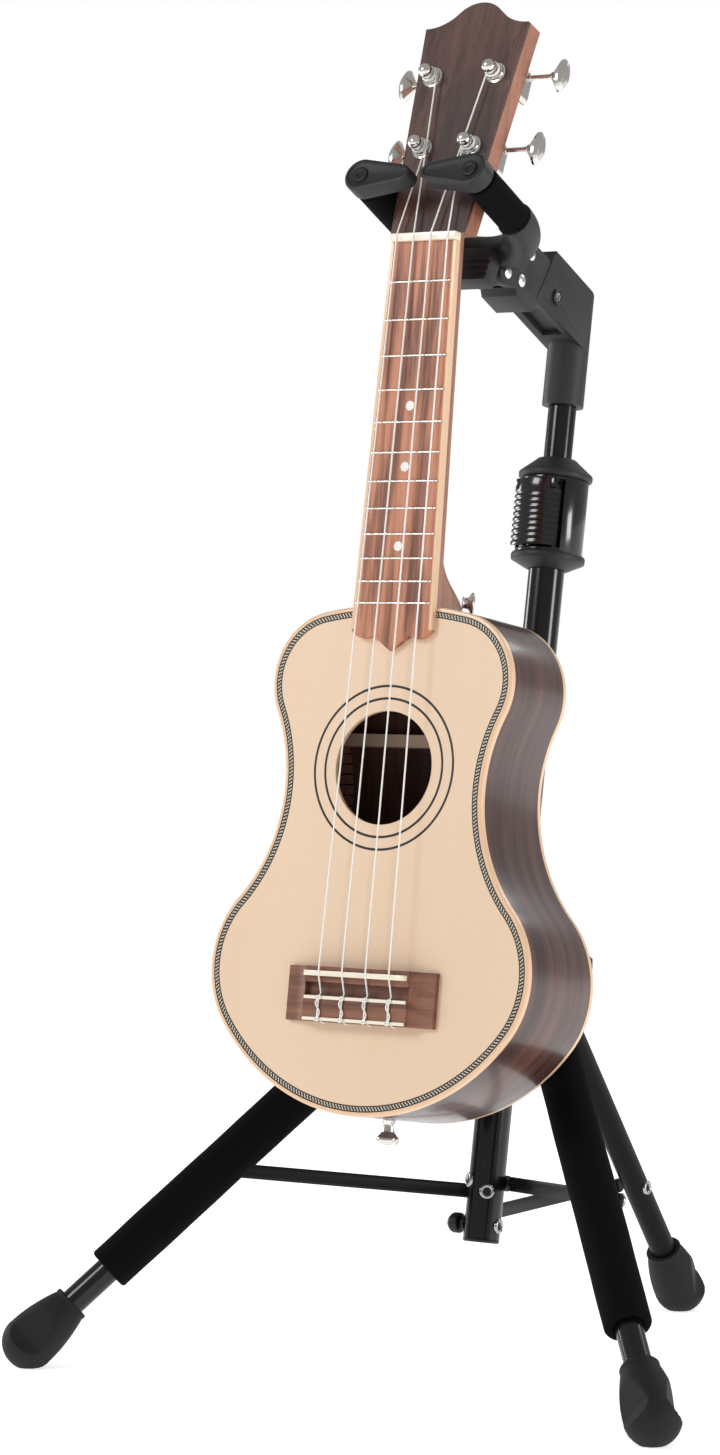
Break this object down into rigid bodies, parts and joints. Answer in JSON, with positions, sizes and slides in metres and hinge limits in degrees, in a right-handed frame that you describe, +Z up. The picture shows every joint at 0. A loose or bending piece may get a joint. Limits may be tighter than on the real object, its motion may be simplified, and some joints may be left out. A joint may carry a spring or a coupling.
{
  "type": "ukulele on stand",
  "caption": "Small waisted four-string instrument with a round sound hole, hanging by its headstock in the gated yoke of a folding tripod stand.",
  "frame": {"origin": "middle of the whole object's base, on the floor plane under the feet", "axes": "+Z up, -Y towards the player's side (the soundboard's face), +X to the right as the soundboard is looked at"},
  "size_m": [0.3742, 0.3544, 0.6586],
  "materials": {
    "tube_black": "gloss",
    "moulded_black": "satin",
    "plate_steel": "brushed",
    "rivet_dark": "satin",
    "rivet_bright": "polished",
    "foam_black": "matte",
    "foot_rubber": "matte",
    "bar_black": "satin",
    "spruce": "satin",
    "rosewood": "gloss",
    "board_wood": "matte",
    "mahogany": "satin",
    "cream": "gloss",
    "bone": "polished",
    "nickel": "polished",
    "nylon": "gloss"
  },
  "bodies": {
    "mast": {"lower_tube": "tube_black", "mast_plug": "moulded_black", "clutch_housing": "moulded_black", "clutch_caps": "moulded_black", "clutch_plates": "plate_steel", "clutch_spring": "plate_steel", "brace_pins": "rivet_dark", "brace_washers": "moulded_black", "brace_cap": "moulded_black"},
    "trigger": {"clutch_trigger": "moulded_black"},
    "upper_mast": {"upper_tube": "tube_black", "tube_bush": "moulded_black", "elbow_block": "moulded_black", "yoke_bracket": "moulded_black", "head_fasteners": "rivet_bright", "tilt_pin": "rivet_bright"},
    "yoke": {"yoke_fork": "moulded_black", "yoke_foam": "foam_black"},
    "left_gate": {"gate_left": "moulded_black"},
    "right_gate": {"gate_right": "moulded_black"},
    "hub": {"leg_hub": "moulded_black", "hub_pins": "rivet_dark"},
    "knob": {"hub_knob": "moulded_black"},
    "ukulele": {"neck": "mahogany", "head_veneer": "rosewood", "fretboard": "board_wood", "frets": "nickel", "nut": "bone", "bridge": "rosewood", "saddle": "bone", "strings": "nylon", "tuner_housings": "nickel", "tuner_ferrules": "nickel", "strap_buttons": "nickel", "soundboard": "spruce", "body_sides": "rosewood", "back_plate": "rosewood", "body_binding": "cream", "body_linings": "mahogany", "end_blocks": "mahogany", "body_braces": "spruce"},
    "leg_right": {"leg_tube_right": "tube_black", "foot_right": "foot_rubber", "leg_foam_right": "foam_black"},
    "bar_right": {"brace_right": "bar_black"},
    "leg_left": {"leg_tube_left": "tube_black", "foot_left": "foot_rubber", "leg_foam_left": "foam_black"},
    "bar_left": {"brace_left": "bar_black"},
    "leg_rear": {"leg_tube_rear": "tube_black", "foot_rear": "foot_rubber"},
    "bar_rear": {"brace_rear": "bar_black"},
    "button_upper_left": {"tuner_button_upper_left": "nickel"},
    "post_upper_left": {"tuner_post_upper_left": "nickel"},
    "button_lower_left": {"tuner_button_lower_left": "nickel"},
    "post_lower_left": {"tuner_post_lower_left": "nickel"},
    "button_upper_right": {"tuner_button_upper_right": "nickel"},
    "post_upper_right": {"tuner_post_upper_right": "nickel"},
    "button_lower_right": {"tuner_button_lower_right": "nickel"},
    "post_lower_right": {"tuner_post_lower_right": "nickel"}
  },
  "joints": [
    {"name": "mast_height", "type": "slide", "parent": "mast", "child": "upper_mast", "axis": [0, 0.1771, 0.9842], "range_m": [0, 0.18]},
    {"name": "clutch_squeeze", "type": "hinge", "parent": "mast", "child": "trigger", "pos_m": [0, 0.0197, 0.42842], "axis": [1, 0, 0], "range_deg": [0, 5], "stiffness_Nm_per_rad": 0.4},
    {"name": "yoke_tilt", "type": "hinge", "parent": "upper_mast", "child": "yoke", "pos_m": [0, -0.0256, 0.52919], "axis": [-1, 0, 0], "range_deg": [0, 10]},
    {"name": "gate_turn_left", "type": "hinge", "parent": "yoke", "child": "left_gate", "pos_m": [-0.0306, -0.09305, 0.5731], "axis": [0, -0.887, 0.4617], "range_deg": [0, 95]},
    {"name": "gate_turn_right", "type": "hinge", "parent": "yoke", "child": "right_gate", "pos_m": [0.0306, -0.09305, 0.5731], "axis": [0, 0.887, -0.4617], "range_deg": [0, 95]},
    {"name": "hub_slide", "type": "slide", "parent": "mast", "child": "hub", "axis": [0, 0.1771, 0.9842], "range_m": [0, 0.168]},
    {"name": "hub_lock", "type": "hinge", "parent": "hub", "child": "knob", "pos_m": [0, -0.00692, 0.19179], "axis": [0.8878, 0.4529, -0.0815], "continuous": true},
    {"name": "leg_fold_right", "type": "hinge", "parent": "hub", "child": "leg_right", "pos_m": [0.01798, -0.01764, 0.20388], "axis": [0.5764, 0.8042, -0.1447], "range_deg": [0, 40.63]},
    {"name": "bar_fold_right", "type": "hinge", "parent": "mast", "child": "bar_right", "pos_m": [0, -0.02557, 0.08816], "axis": [-0.5764, -0.8042, 0.1447], "range_deg": [0, 80.35]},
    {"name": "leg_fold_left", "type": "hinge", "parent": "hub", "child": "leg_left", "pos_m": [-0.01798, -0.01764, 0.20388], "axis": [0.5764, -0.8042, 0.1447], "range_deg": [0, 40.63]},
    {"name": "bar_fold_left", "type": "hinge", "parent": "mast", "child": "bar_left", "pos_m": [0, -0.02646, 0.08324], "axis": [-0.5764, 0.8042, -0.1447], "range_deg": [0, 79.3]},
    {"name": "leg_fold_rear", "type": "hinge", "parent": "hub", "child": "leg_rear", "pos_m": [0, 0.01847, 0.19738], "axis": [-1, 0, 0], "range_deg": [0, 47.18]},
    {"name": "bar_fold_rear", "type": "hinge", "parent": "mast", "child": "bar_rear", "pos_m": [0, -0.02933, 0.06729], "axis": [1, 0, 0], "range_deg": [0, 67.97]},
    {"name": "ukulele_lift", "type": "slide", "parent": "yoke", "child": "ukulele", "axis": [0, 0.4617, 0.887], "range_m": [0, 0.06]},
    {"name": "tuner_turn_upper_left", "type": "hinge", "parent": "ukulele", "child": "button_upper_left", "pos_m": [-0.0179, -0.03198, 0.62095], "axis": [1, 0, 0], "continuous": true},
    {"name": "post_turn_upper_left", "type": "hinge", "parent": "ukulele", "child": "post_upper_left", "pos_m": [-0.0179, -0.04866, 0.6219], "axis": [0, 0.9191, -0.3939], "continuous": true},
    {"name": "tuner_turn_lower_left", "type": "hinge", "parent": "ukulele", "child": "button_lower_left", "pos_m": [-0.0138, -0.04727, 0.58529], "axis": [1, 0, 0], "continuous": true},
    {"name": "post_turn_lower_left", "type": "hinge", "parent": "ukulele", "child": "post_lower_left", "pos_m": [-0.0138, -0.06394, 0.58623], "axis": [0, 0.9191, -0.3939], "continuous": true},
    {"name": "tuner_turn_upper_right", "type": "hinge", "parent": "ukulele", "child": "button_upper_right", "pos_m": [0.0179, -0.03198, 0.62095], "axis": [1, 0, 0], "continuous": true},
    {"name": "post_turn_upper_right", "type": "hinge", "parent": "ukulele", "child": "post_upper_right", "pos_m": [0.0179, -0.04866, 0.6219], "axis": [0, 0.9191, -0.3939], "continuous": true},
    {"name": "tuner_turn_lower_right", "type": "hinge", "parent": "ukulele", "child": "button_lower_right", "pos_m": [0.0138, -0.04727, 0.58529], "axis": [1, 0, 0], "continuous": true},
    {"name": "post_turn_lower_right", "type": "hinge", "parent": "ukulele", "child": "post_lower_right", "pos_m": [0.0138, -0.06394, 0.58623], "axis": [0, 0.9191, -0.3939], "continuous": true}
  ],
  "couplings": [
    {"joint": "gate_turn_left", "follows": "yoke_tilt", "ratio": 9.5},
    {"joint": "gate_turn_right", "follows": "yoke_tilt", "ratio": 9.5},
    {"joint": "leg_fold_right", "follows": "hub_slide", "rad_per_m": 4.2212},
    {"joint": "bar_fold_right", "follows": "hub_slide", "rad_per_m": 8.3478},
    {"joint": "leg_fold_left", "follows": "hub_slide", "rad_per_m": 4.2212},
    {"joint": "bar_fold_left", "follows": "hub_slide", "rad_per_m": 8.2379},
    {"joint": "leg_fold_rear", "follows": "hub_slide", "rad_per_m": 4.9011},
    {"joint": "bar_fold_rear", "follows": "hub_slide", "rad_per_m": 7.0614},
    {"joint": "post_turn_upper_left", "follows": "tuner_turn_upper_left", "ratio": 0.07143},
    {"joint": "post_turn_lower_left", "follows": "tuner_turn_lower_left", "ratio": 0.07143},
    {"joint": "post_turn_upper_right", "follows": "tuner_turn_upper_right", "ratio": 0.07143},
    {"joint": "post_turn_lower_right", "follows": "tuner_turn_lower_right", "ratio": 0.07143}
  ]
}
